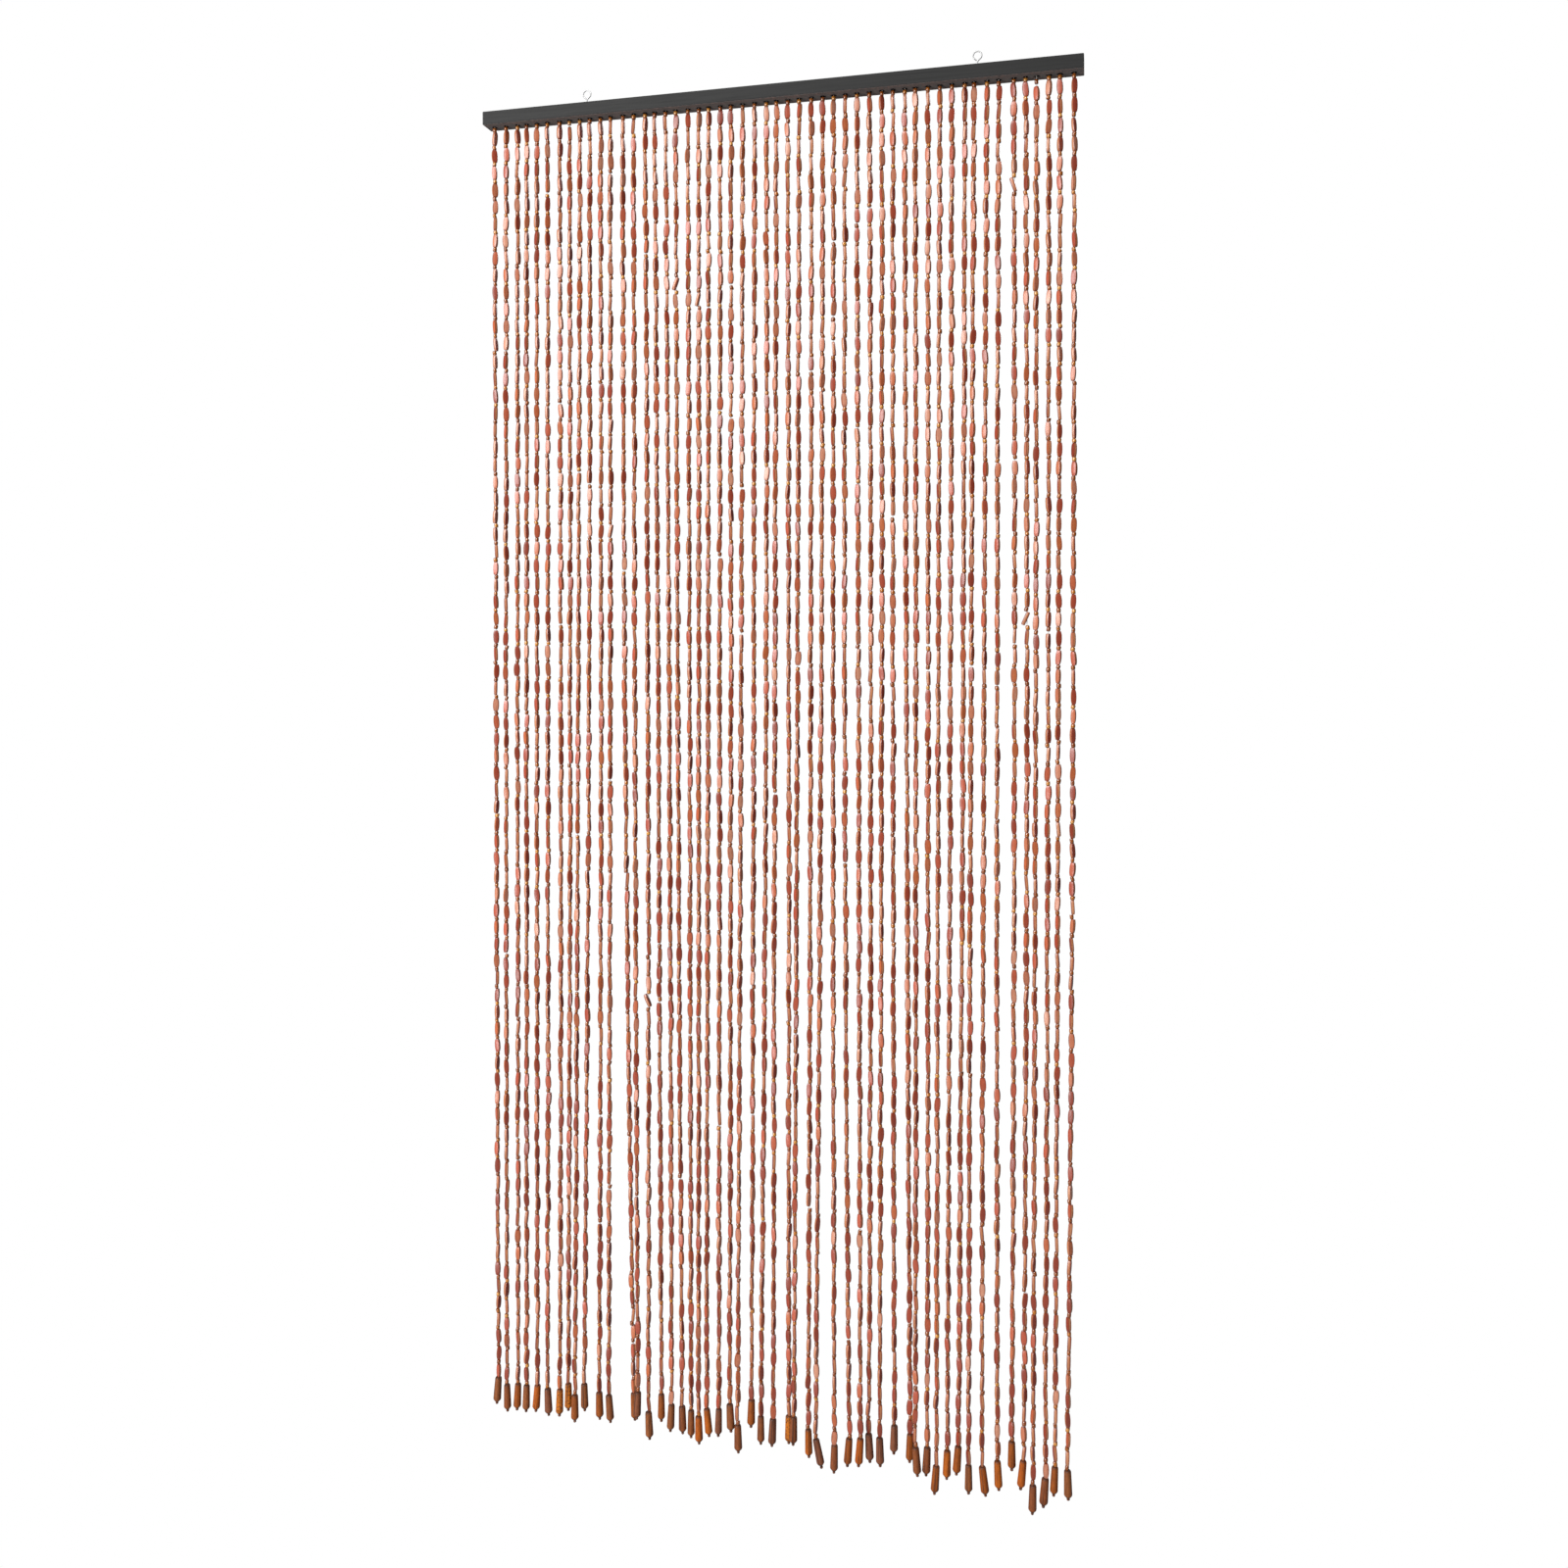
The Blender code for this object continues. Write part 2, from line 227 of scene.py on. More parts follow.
@dataclass
class Surface:
    """Copies of one closed grid: rings of points in order, with a flat cap at each end.

    Attributes:
        points: (copies, rings, sides, 3) places; sides run anticlockwise seen from the last ring.
        shade: (copies, rings, sides, 3) tint, edge and end, each from 0 to 1.
        chart: (copies, rings, sides + 1, 2) metres around and along, for patterns. It has one
            ring more where the grid is looped.
        looped: the last ring joins the first, and there are no caps.
    """

    points: np.ndarray
    shade: np.ndarray
    chart: np.ndarray
    looped: bool = False

    def corners(self) -> tuple[np.ndarray, np.ndarray]:
        """Return vertex indices of the side quads and of the caps.

        A quad joins side j and j + 1 of ring i to the same sides of ring i + 1. The first cap
        runs backwards, so that both caps face outwards.
        """
        copies, rings, sides, _ = self.points.shape
        index = np.arange(copies * rings * sides).reshape(copies, rings, sides)
        caps = np.stack([index[:, 0, ::-1], index[:, -1]], axis=1)
        if self.looped:
            index = np.concatenate([index, index[:, :1]], axis=1)
            caps = caps[:, :0]
        turned = np.roll(index, -1, axis=2)
        quads = np.stack([index[:, :-1], turned[:, :-1], turned[:, 1:], index[:, 1:]], axis=-1)
        return quads, caps

    def chart_corners(self) -> tuple[np.ndarray, np.ndarray]:
        """Return the chart's values at each corner of the quads and of the caps."""
        near = self.chart[:, :-1]
        far = self.chart[:, 1:]
        quads = np.stack([near[:, :, :-1], near[:, :, 1:], far[:, :, 1:], far[:, :, :-1]], axis=3)
        caps = np.stack([self.chart[:, 0, -2::-1], self.chart[:, -1, :-1]], axis=1)
        return quads, caps[:, :0] if self.looped else caps

    def to_object(self, name: str, material: bpy.types.Material, crease: float = 50) -> bpy.types.Object:
        """Put the surface into a mesh object at the origin.

        Args:
            name: the piece's name.
            material: its finish.
            crease: edges sharper than this angle, in degrees, aren't shaded smooth.

        Returns:
            The new object, linked to the scene.
        """
        quads, caps = self.corners()
        sides = self.points.shape[2]
        quad_count = quads.size // 4
        cap_count = caps.size // sides
        mesh = bpy.data.meshes.new(name)
        mesh.vertices.add(self.points.size // 3)
        mesh.vertices.foreach_set("co", self.points.astype(np.float32).ravel())
        mesh.loops.add(quads.size + caps.size)
        mesh.loops.foreach_set("vertex_index", np.concatenate([quads.ravel(), caps.ravel()]))
        mesh.polygons.add(quad_count + cap_count)
        starts = [np.arange(quad_count) * 4, quads.size + np.arange(cap_count) * sides]
        mesh.polygons.foreach_set("loop_start", np.concatenate(starts))
        mesh.update(calc_edges=True)

        shade = np.concatenate([self.shade, np.ones_like(self.shade[..., :1])], axis=-1)
        colour = mesh.attributes.new("bead", "FLOAT_COLOR", "POINT")
        colour.data.foreach_set("color", shade.astype(np.float32).ravel())
        quad_chart, cap_chart = self.chart_corners()
        flat = np.concatenate([quad_chart.reshape(-1, 2), cap_chart.reshape(-1, 2)])
        mesh.uv_layers.new(name="chart").data.foreach_set("uv", flat.astype(np.float32).ravel())

        mesh.materials.append(material)
        mesh.shade_smooth()
        mesh.set_sharp_from_angle(angle=math.radians(crease))
        mesh.validate()
        item = bpy.data.objects.new(name, mesh)
        bpy.context.scene.collection.objects.link(item)
        return item


@dataclass
class Places:
    """Where and how copies of a bead sit, one row a bead.

    Attributes:
        centre: (n, 3) middles.
        turn: (n,) angle of the wide face about the thread, in radians.
        lean: (n, 2) sideways and backwards slope of the thread's line through the bead.
        size: (n, 3) width, thickness and length.
        tint: (n,) from 0 to 1, which colour of its kind the bead has.
    """

    centre: np.ndarray
    turn: np.ndarray
    lean: np.ndarray
    size: np.ndarray
    tint: np.ndarray

    @staticmethod
    def joined(parts: list[Places]) -> Places:
        """Return the rows of several sets of places as one."""
        names = ("centre", "turn", "lean", "size", "tint")
        return Places(*(np.concatenate([getattr(part, name) for part in parts]) for name in names))

    def axes(self) -> np.ndarray:
        """Return (n, 3, 3) matrices whose columns are a bead's width, thickness and length.

        The length points up the thread: (lean, 1) made a unit. The width is the turned
        horizontal direction with its part along the thread taken out, and the thickness is
        the cross product of the two.
        """
        up = np.column_stack([self.lean, np.ones(len(self.lean))])
        up /= np.linalg.norm(up, axis=1, keepdims=True)
        flat = np.column_stack([np.cos(self.turn), np.sin(self.turn), np.zeros(len(self.turn))])
        wide = flat - up * np.sum(flat * up, axis=1, keepdims=True)
        wide /= np.linalg.norm(wide, axis=1, keepdims=True)
        return np.stack([wide, np.cross(up, wide), up], axis=-1)


@dataclass(frozen=True)
class BeadForm:
    """One kind of bead: a closed form swept along its thread.

    A ring at height h of the length spans w(h) of the bead's width and t(h) of its thickness,
    and the ring itself is the superellipse |x|^p + |y|^p = 1, so p = 2 is round and more is
    boxy.

    Attributes:
        profile: height, width share w and thickness share t of each ring, from the foot to
            the top, with heights from -0.5 to 0.5.
        sides: points in a ring.
        end_shade_from: the height, as a share of the length, where the painted shade at the bead's ends
            starts.
        boxy: the superellipse's power p.
    """

    profile: tuple[Triple, ...]
    sides: int
    end_shade_from: float
    boxy: float = 2.0

    def ring(self) -> np.ndarray:
        """Return (sides, 2) points of the unit superellipse, anticlockwise."""
        angle = np.arange(self.sides) * 2 * np.pi / self.sides
        cosine, sine = np.cos(angle), np.sin(angle)
        reach = (np.abs(cosine) ** self.boxy + np.abs(sine) ** self.boxy) ** (-1 / self.boxy)
        return np.column_stack([cosine * reach, sine * reach])

    def surface(self, places: Places) -> Surface:
        """Return the joined surface of the beads at these places.

        A point is centre + axes . (x w W/2, y t T/2, h L), with the ring's x and y, the
        profile's h, w and t and the bead's width, thickness and length W, T and L. The
        shade's edge is |x|, so it is 1 on the narrow sides of a flat bead, and its end rises
        from 0 where the painted shade at the bead's ends starts to 1 at the very ends.
        """
        height, *shares = np.array(self.profile).T
        ring = self.ring()
        count, levels = len(places.centre), len(height)
        unit = np.empty((levels, self.sides, 3))
        unit[..., :2] = ring[None] * np.transpose(shares)[:, None] / 2
        unit[..., 2] = height[:, None]
        local = unit[None] * places.size[:, None, None, :]
        points = np.einsum("nij,nlsj->nlsi", places.axes(), local) + places.centre[:, None, None]

        shade = np.empty((count, levels, self.sides, 3))
        shade[..., 0] = places.tint[:, None, None]
        shade[..., 1] = np.abs(ring[:, 0])
        past = (np.abs(height) - self.end_shade_from) / (0.5 - self.end_shade_from)
        shade[..., 2] = np.clip(past, 0, 1)[:, None]

        chart = np.empty((count, levels, self.sides + 1, 2))
        around = np.linspace(0, 1, self.sides + 1) * np.pi
        chart[..., 0] = around * places.size[:, None, None, 0]
        along = height[:, None] * places.size[:, None, None, 2]
        own_patch = np.arange(count)[:, None, None] * 0.137 + places.tint[:, None, None]
        chart[..., 1] = along + own_patch
        return Surface(points, shade, chart)


def tube(path: np.ndarray, radius: np.ndarray, across: np.ndarray, sides: int) -> Surface:
    """Carry a circle along paths.

    A point is p + r (cos a u + sin a v), where u is the given direction with its part along
    the path's tangent t taken out, and v is t x u.

    Args:
        path: (copies, steps, 3) points.
        radius: (copies, steps) radii.
        across: a direction that no path runs along.
        sides: points round the circle.

    Returns:
        The closed surface, whose chart runs round and along each tube in metres.
    """
    tangent = np.gradient(path, axis=1)
    tangent /= np.linalg.norm(tangent, axis=2, keepdims=True)
    first = across - tangent * (tangent @ across)[..., None]
    first /= np.linalg.norm(first, axis=2, keepdims=True)
    second = np.cross(tangent, first)
    angle = np.arange(sides) * 2 * np.pi / sides
    spoke = (np.cos(angle)[:, None] * first[:, :, None] + np.sin(angle)[:, None] * second[:, :, None])
    points = path[:, :, None] + spoke * radius[..., None, None]

    step = np.linalg.norm(np.diff(path, axis=1), axis=2)
    along = np.concatenate([np.zeros((len(path), 1)), np.cumsum(step, axis=1)], axis=1)
    chart = np.empty((*path.shape[:2], sides + 1, 2))
    chart[..., 0] = np.linspace(0, 1, sides + 1) * 2 * np.pi * radius[..., None]
    chart[..., 1] = along[..., None]
    shade = np.zeros((*points.shape[:3], 3))
    return Surface(points, shade, chart)


@dataclass(frozen=True)
class Rail:
    """The painted rail, read from its solid.

    Attributes:
        low: lowest corner of the rail's box.
        high: highest corner of the rail's box.
    """

    low: Vector
    high: Vector

    @staticmethod
    def from_frame() -> Rail:
        """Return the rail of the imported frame."""
        return Rail(*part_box("rail"))

    def hole_x(self, index: int) -> float:
        """Return the X of a string's hole."""
        return self.low.x + FIRST_HOLE + index * HOLE_PITCH + HANGS[index].hole * MM

    @property
    def groove_floor(self) -> float:
        """Return the height of the floor of the thread groove."""
        return self.high.z - GROOVE_DEPTH


@dataclass
class HoleRims:
    """The torn rims of the thread holes' mouths, near black: torn wood, and painted shade in the holes.

    Attributes:
        rail: the rail whose underside they are in.
        inner: radius at the hole's wall.
        outer: radius at the outer edge.
        torn: how uneven the outer edge is, as a share of its radius.
        sides: points round a hole.
        heights: of the section's corners above the rail's underside.
    """

    rail: Rail
    inner: float = 2.8 * MM
    outer: float = 4.2 * MM
    torn: float = 0.07
    sides: int = 20
    heights: tuple[float, ...] = (1.6 * MM, -0.05 * MM, -0.3 * MM, -0.04 * MM, 0.3 * MM)

    def build(self, material: bpy.types.Material) -> bpy.types.Object:
        """Return the rims of all holes as one piece.

        Each rim is a ring round its hole whose section has five corners: up the hole's wall,
        at the mouth, on the torn fibres, at the outer edge and in the wood. The outer corners'
        radius is multiplied by 1 + torn (sin 2a + sin 3a + sin 5a), with a the angle round the
        hole and a phase drawn for each sine of each rim.
        """
        count = len(HANGS)
        rng = np.random.default_rng((SEED, count, 1))
        angle = np.arange(self.sides) * 2 * np.pi / self.sides
        phase = rng.uniform(0, 2 * np.pi, (3, count, 1))
        waves = np.array([2, 3, 5])[:, None, None] * angle + phase
        uneven = 1 + self.torn * np.sin(waves).sum(axis=0)
        middle = (self.inner + self.outer) / 2
        radius = np.array([self.inner, self.inner, middle, self.outer, self.outer])
        height = np.array(self.heights)
        reach = np.where(radius[:, None] > self.inner, uneven[:, None], 1) * radius[:, None]
        holes = np.array([self.rail.hole_x(index) for index in range(count)])
        points = np.empty((count, len(radius), self.sides, 3))
        points[..., 0] = holes[:, None, None] + reach * np.cos(angle)
        points[..., 1] = reach * np.sin(angle)
        points[..., 2] = self.rail.low.z + height[:, None]
        chart = np.zeros((count, len(radius) + 1, self.sides + 1, 2))
        chart[..., 0] = np.linspace(0, 1, self.sides + 1) * 2 * np.pi * self.outer
        chart[..., 1] = np.arange(len(radius) + 1)[:, None] * MM + holes[:, None, None]
        surface = Surface(points, np.zeros_like(points), chart, looped=True)
        return surface.to_object("hole_rims", material)


@dataclass
class BeadString:
    """One string: its line in space and the beads threaded on it.

    Attributes:
        rail: the rail that it hangs from.
        index: its number, from 0 at the left.
        below_rail: from the rail's underside to the first bead.
        end_flatness: the end bead's thickness as a share of its width.
        length_spread: how the lengths vary, of long beads and of round ones.
        width_spread: how the widths vary.
        end_spread: how the end beads' widths vary.
        wobble: how much the slopes vary, of long beads and of round ones.
        aside: how far the beads sit off the string's line.
        loose_share: share of the beads with thread showing under them.
        loose_gap: the least and the most thread that shows there, in millimetres.
        snug_gap: the gap between all other beads.
        hem_shade: how the tints darken towards the hem, as painted shade where less light falls.
        wider_at_rail: how much wider the beads at the rail are.
        wide_reach: how far down that goes, as a share of the string.
    """

    rail: Rail
    index: int
    below_rail: float = 1.2 * MM
    long_length: float = 20.0 * MM
    long_width: float = 8.7 * MM
    long_thickness: float = 5.4 * MM
    round_length: float = 6.4 * MM
    round_width: float = 6.0 * MM
    end_width: float = 11.6 * MM
    end_flatness: float = 0.97
    stopper_length: float = 4.0 * MM
    length_spread: tuple[float, float] = (0.022, 0.05)
    width_spread: float = 0.05
    end_spread: float = 0.025
    wobble: tuple[float, float] = (0.045, 0.16)
    aside: float = 0.5 * MM
    loose_share: float = 0.012
    loose_gap: tuple[float, float] = (0.8, 3.2)
    snug_gap: float = 0.02 * MM
    hem_shade: float = 2.2
    wider_at_rail: float = 0.08
    wide_reach: float = 0.15
    rng: np.random.Generator = field(init=False)

    def __post_init__(self) -> None:
        """Give the string its own repeatable draws."""
        self.rng = np.random.default_rng((SEED, self.index))

    def draw(self, *shape: int) -> np.ndarray:
        """Return normal draws of this shape, cut off at 2 either way."""
        return np.clip(self.rng.standard_normal(shape), -2, 2)

    @property
    def hang(self) -> Hang:
        """Return the string's row of the table."""
        return HANGS[self.index]

    @property
    def top(self) -> float:
        """Return the height where the bead column starts, a little below the hole."""
        slack = SLACK.get(self.index + 1, 0) * MM
        return self.rail.low.z - self.below_rail - slack

    @property
    def neck(self) -> float:
        """Return the height of the end bead's top."""
        return self.rail.low.z - self.hang.drop * MM + END_LENGTH

    def line(self, z: np.ndarray) -> np.ndarray:
        """Return (n, 3) points of the string's line at these heights.

        With t the share of the way from the rail's underside to the end bead, sideways is
        hole + a t + b t^2 through the middle and low readings, and backwards is back t^2.
        """
        share = np.clip((self.rail.low.z - z) / (self.rail.low.z - self.neck), 0, None)
        hang, middle = self.hang, MIDDLE_READING
        slope = (hang.middle - hang.low * middle**2) / (middle - middle**2)
        sideways = slope * share + (hang.low - slope) * share**2
        x = self.rail.hole_x(self.index) + sideways * MM
        return np.column_stack([x, hang.back * share**2 * MM, z])

    def lean(self, z: np.ndarray) -> np.ndarray:
        """Return (n, 2) slopes of the line at these heights, by a centred difference."""
        reach = 5 * MM
        above, below = self.line(z + reach), self.line(z - reach)
        return (above[:, :2] - below[:, :2]) / (2 * reach)

    def beads(self) -> tuple[Places, Places]:
        """Thread the column: a round bead, a long bead, and so on down to the end bead.

        The counts are those whose even lengths come nearest to the column's. Each length
        then varies a little, a few gaps show thread, and all are scaled to fill the column.
        With s the share of the way down, a bead's tint is a random share to the power
        1 + hem_shade s^2, which darkens the beads towards the hem as painted shade, and a
        bead's width is multiplied by 1 + wider_at_rail e^(-s / wide_reach).

        Returns:
            The places of the long beads and of the round beads.
        """
        column = self.top - self.neck
        pair = self.long_length + self.round_length
        whole = int(column / pair)
        choices = [(whole, 0), (whole, 1), (whole + 1, 0)]
        misfit = [abs(column - n * pair - extra * self.round_length) for n, extra in choices]
        pairs, extra = choices[int(np.argmin(misfit))]
        count = 2 * pairs + extra
        is_long = np.arange(count) % 2 == 1

        rng = self.rng
        length = np.where(is_long, self.long_length, self.round_length)
        length = length * (1 + np.where(is_long, *self.length_spread) * self.draw(count))
        loose = rng.random(count) < self.loose_share
        gap = np.where(loose, rng.uniform(*self.loose_gap, count) * MM, self.snug_gap)
        fill = (column - gap.sum()) / length.sum()
        length *= fill
        foot = self.top - np.cumsum(length + gap) + gap
        middle = foot + length / 2

        centre = self.line(middle)
        lean = self.lean(middle)
        lean += np.where(is_long, *self.wobble)[:, None] * self.draw(count, 2)
        centre[:, :2] += self.aside * self.draw(count, 2)
        turn = rng.uniform(0, np.pi, count)
        down = (self.top - middle) / column
        # Painted shade: the tints darken towards the hem.
        tint = rng.random(count) ** (1 + self.hem_shade * down**2)
        width = np.where(is_long, self.long_width, self.round_width)
        width = width * (1 + self.width_spread * self.draw(count))
        width *= 1 + self.wider_at_rail * np.exp(-down / self.wide_reach)
        flatness = np.where(is_long, self.long_thickness / self.long_width, 1.0)
        size = np.column_stack([width, width * flatness, length])

        self.set_kinks(middle, is_long, centre, lean, turn)
        centre[0, :2] = self.line(middle[:1])[0, :2]
        lean[0] = 0

        def taken(mask: np.ndarray) -> Places:
            """Return the places of the beads that the mask picks."""
            return Places(centre[mask], turn[mask], lean[mask], size[mask], tint[mask])

        return taken(is_long), taken(~is_long)

    def set_kinks(
        self,
        middle: np.ndarray,
        is_long: np.ndarray,
        centre: np.ndarray,
        lean: np.ndarray,
        turn: np.ndarray,
    ) -> None:
        """Turn askew the long beads that the table of kinks names, and part their neighbours.

        Args:
            middle: heights of the beads' middles.
            is_long: which beads are long.
            centre: the beads' places, changed here.
            lean: the beads' slopes, changed here.
            turn: the beads' turns, changed here.
        """
        for kink in KINKS:
            if kink.string != self.index + 1:
                continue
            wanted = self.rail.low.z - kink.down * MM
            caught = int(np.argmin(np.where(is_long, np.abs(middle - wanted), 1)))
            lean[caught, 0] = -math.tan(math.radians(kink.lean))
            centre[caught, 0] += kink.aside * MM
            turn[caught] = np.pi / 2
            centre[caught + 1, 0] -= 0.35 * kink.aside * MM

    def end_axis(self) -> tuple[np.ndarray, np.ndarray]:
        """Return the points at the end bead's top and at the string's tip."""
        top = self.line(np.array([self.neck]))[0]
        tip_x = self.rail.hole_x(self.index) + self.hang.tip * MM
        return top, np.array([tip_x, top[1], self.neck - END_LENGTH])

    def end(self) -> Places:
        """Return the place of the end bead, whose foot stands over the stopper bead."""
        top, tip = self.end_axis()
        along = (tip - top) / END_LENGTH
        length = END_LENGTH - self.stopper_length
        width = self.end_width * (1 + self.end_spread * self.draw(1)[0])
        size = np.array([[width, width * self.end_flatness, length - 0.1 * MM]])
        turn = self.rng.uniform(0, np.pi, 1)
        tint = np.clip(self.hang.tone.value + self.rng.uniform(-0.05, 0.05, 1), 0, 1)
        centre = (top + along * length / 2)[None]
        return Places(centre, turn, (along[:2] / along[2])[None], size, tint)

    def stopper(self) -> Places:
        """Return the place of the stopper bead at the very end."""
        top, tip = self.end_axis()
        lean = self.rng.uniform(-0.3, 0.3, (1, 2))
        width = self.rng.uniform(4.1, 4.7) * MM
        size = np.array([[width, width, self.stopper_length - 0.3 * MM]])
        centre = tip + (top - tip) * self.stopper_length / 2 / END_LENGTH
        return Places(centre[None], np.zeros(1), lean, size, np.array([0.0]))

    def thread(self, steps: int) -> np.ndarray:
        """Return (steps, 3) points down the thread, from the groove into the stopper bead.

        They follow the string's line to the end bead's top, and go straight from there to
        the stopper bead.
        """
        top, tip = self.end_axis()
        low = steps // 10
        z = np.linspace(self.rail.groove_floor + 0.8 * MM, self.neck, steps - low)
        share = np.linspace(0, 0.96, low + 1)[1:, None]
        return np.concatenate([self.line(z), top + share * (tip - top)])


def turned(*pairs: tuple[float, float]) -> tuple[Triple, ...]:
    """Return a round form's profile from its heights and girths."""
    return tuple((height, girth, girth) for height, girth in pairs)


LONG_BEAD = BeadForm(
    profile=(
        (-0.5, 0.57, 0.76),
        (-0.45, 0.73, 0.93),
        (-0.25, 0.94, 1.0),
        (0, 1.0, 1.0),
        (0.25, 0.94, 1.0),
        (0.45, 0.73, 0.93),
        (0.5, 0.57, 0.76),
    ),
    sides=8,
    end_shade_from=0.44,
    boxy=3.0,
)
ROUND_BEAD = BeadForm(
    profile=turned((-0.5, 0.72), (-0.38, 0.94), (0, 1), (0.38, 0.94), (0.5, 0.72)),
    sides=8,
    end_shade_from=0.2,
)
END_BEAD = BeadForm(
    profile=turned(
        (-0.5, 0.42),
        (-0.492, 0.50),
        (-0.42, 0.90),
        (-0.40, 0.975),
        (-0.375, 1.0),
        (-0.2, 0.97),
        (0.1, 0.92),
        (0.41, 0.855),
        (0.442, 0.83),
        (0.468, 0.75),
        (0.492, 0.56),
        (0.5, 0.44),
    ),
    sides=16,
    end_shade_from=0.40,
)
STOPPER_BEAD = BeadForm(
    profile=turned(
        (-0.5, 0.45),
        (-0.4, 0.78),
        (-0.2, 0.97),
        (0, 1),
        (0.2, 0.97),
        (0.4, 0.78),
        (0.5, 0.45),
    ),
    sides=10,
    end_shade_from=0.1,
)


class Look:
    """A node tree under construction: short calls that add a node and return its output."""

    def __init__(self, name: str) -> None:
        """Start a Principled material of this name."""
        self.material = bpy.data.materials.new(name)
        self.material.use_nodes = True
        self.tree = self.material.node_tree
        self.shader = self.tree.nodes["Principled BSDF"]

    def add(self, kind: str, **values: object) -> bpy.types.Node:
        """Add a node and set its properties."""
        node = self.tree.nodes.new(kind)
        for name, value in values.items():
            setattr(node, name, value)
        return node

    def join(self, source: Socket, target: Socket) -> None:
        """Link two sockets."""
        self.tree.links.new(source, target)

    def shade(self) -> tuple[Socket, ...]:
        """Return the tint, edge and end of the surface's own attribute."""
        attribute = self.add("ShaderNodeAttribute", attribute_name="bead")
        parted = self.add("ShaderNodeSeparateColor")
        self.join(attribute.outputs["Color"], parted.inputs["Color"])
        return tuple(parted.outputs)

    def chart(self, scale: Triple) -> Socket:
        """Return the surface's own chart, scaled."""
        uv = self.add("ShaderNodeUVMap", uv_map="chart")
        return self.scaled(uv.outputs["UV"], scale)

    def place(self, scale: Triple) -> Socket:
        """Return Object coordinates, scaled."""
        coordinates = self.add("ShaderNodeTexCoord")
        return self.scaled(coordinates.outputs["Object"], scale)

    def scaled(self, source: Socket, scale: Triple) -> Socket:
        """Return a vector scaled by a Mapping node."""
        mapping = self.add("ShaderNodeMapping")
        mapping.inputs["Scale"].default_value = scale
        self.join(source, mapping.inputs["Vector"])
        return mapping.outputs["Vector"]

    def noise(self, vector: Socket, detail: float, roughness: float = 0.5) -> Socket:
        """Return a noise of unit scale over a vector."""
        node = self.add("ShaderNodeTexNoise")
        node.inputs["Scale"].default_value = 1.0
        node.inputs["Detail"].default_value = detail
        node.inputs["Roughness"].default_value = roughness
        self.join(vector, node.inputs["Vector"])
        return node.outputs["Fac"]

    def ramp(self, source: Socket, stops: tuple[tuple[float, Triple], ...]) -> Socket:
        """Return a colour ramp with (place, colour) stops."""
        node = self.add("ShaderNodeValToRGB")
        elements = node.color_ramp.elements
        while len(elements) < len(stops):
            elements.new(0.5)
        for element, (place, colour) in zip(elements, stops):
            element.position = place
            element.color = (*colour, 1)
        self.join(source, node.inputs["Fac"])
        return node.outputs["Color"]

    def span(self, source: Socket, low: float, high: float, to_low: float, to_high: float) -> Socket:
        """Return a value carried from one range to another, clamped."""
        node = self.add("ShaderNodeMapRange")
        names = ("From Min", "From Max", "To Min", "To Max")
        for name, value in zip(names, (low, high, to_low, to_high)):
            node.inputs[name].default_value = value
        self.join(source, node.inputs["Value"])
        return node.outputs["Result"]

    def mix(
        self,
        share: Socket | float,
        under: Socket | tuple[float, ...],
        over: Socket | tuple[float, ...],
        blend: str = "MIX",
    ) -> Socket:
        """Return two colours mixed by a share."""
        node = self.add("ShaderNodeMix", data_type="RGBA", blend_type=blend)
        sockets = (node.inputs[0], node.inputs[6], node.inputs[7])
        for value, socket in zip((share, under, over), sockets):
            if isinstance(value, Socket):
                self.join(value, socket)
            elif isinstance(value, tuple):
                socket.default_value = (*value, 1)
            else:
                socket.default_value = value
        return node.outputs[2]

    def product(self, first: Socket, second: Socket | float) -> Socket:
        """Return the product of two values."""
        node = self.add("ShaderNodeMath", operation="MULTIPLY")
        self.join(first, node.inputs[0])
        if isinstance(second, Socket):
            self.join(second, node.inputs[1])
        else:
            node.inputs[1].default_value = second
        return node.outputs[0]

    def bump(self, height: Socket, depth: float, strength: float = 1.0) -> None:
        """Raise the surface by a height of 0 to 1 over this depth in metres."""
        node = self.add("ShaderNodeBump")
        node.inputs["Strength"].default_value = strength
        node.inputs["Distance"].default_value = depth
        self.join(height, node.inputs["Height"])
        self.join(node.outputs["Normal"], self.shader.inputs["Normal"])

    def set(self, **values: float) -> None:
        """Set the shader's own sockets; an underscore in a name stands for a space."""
        for name, value in values.items():
            self.shader.inputs[name.replace("_", " ")].default_value = value


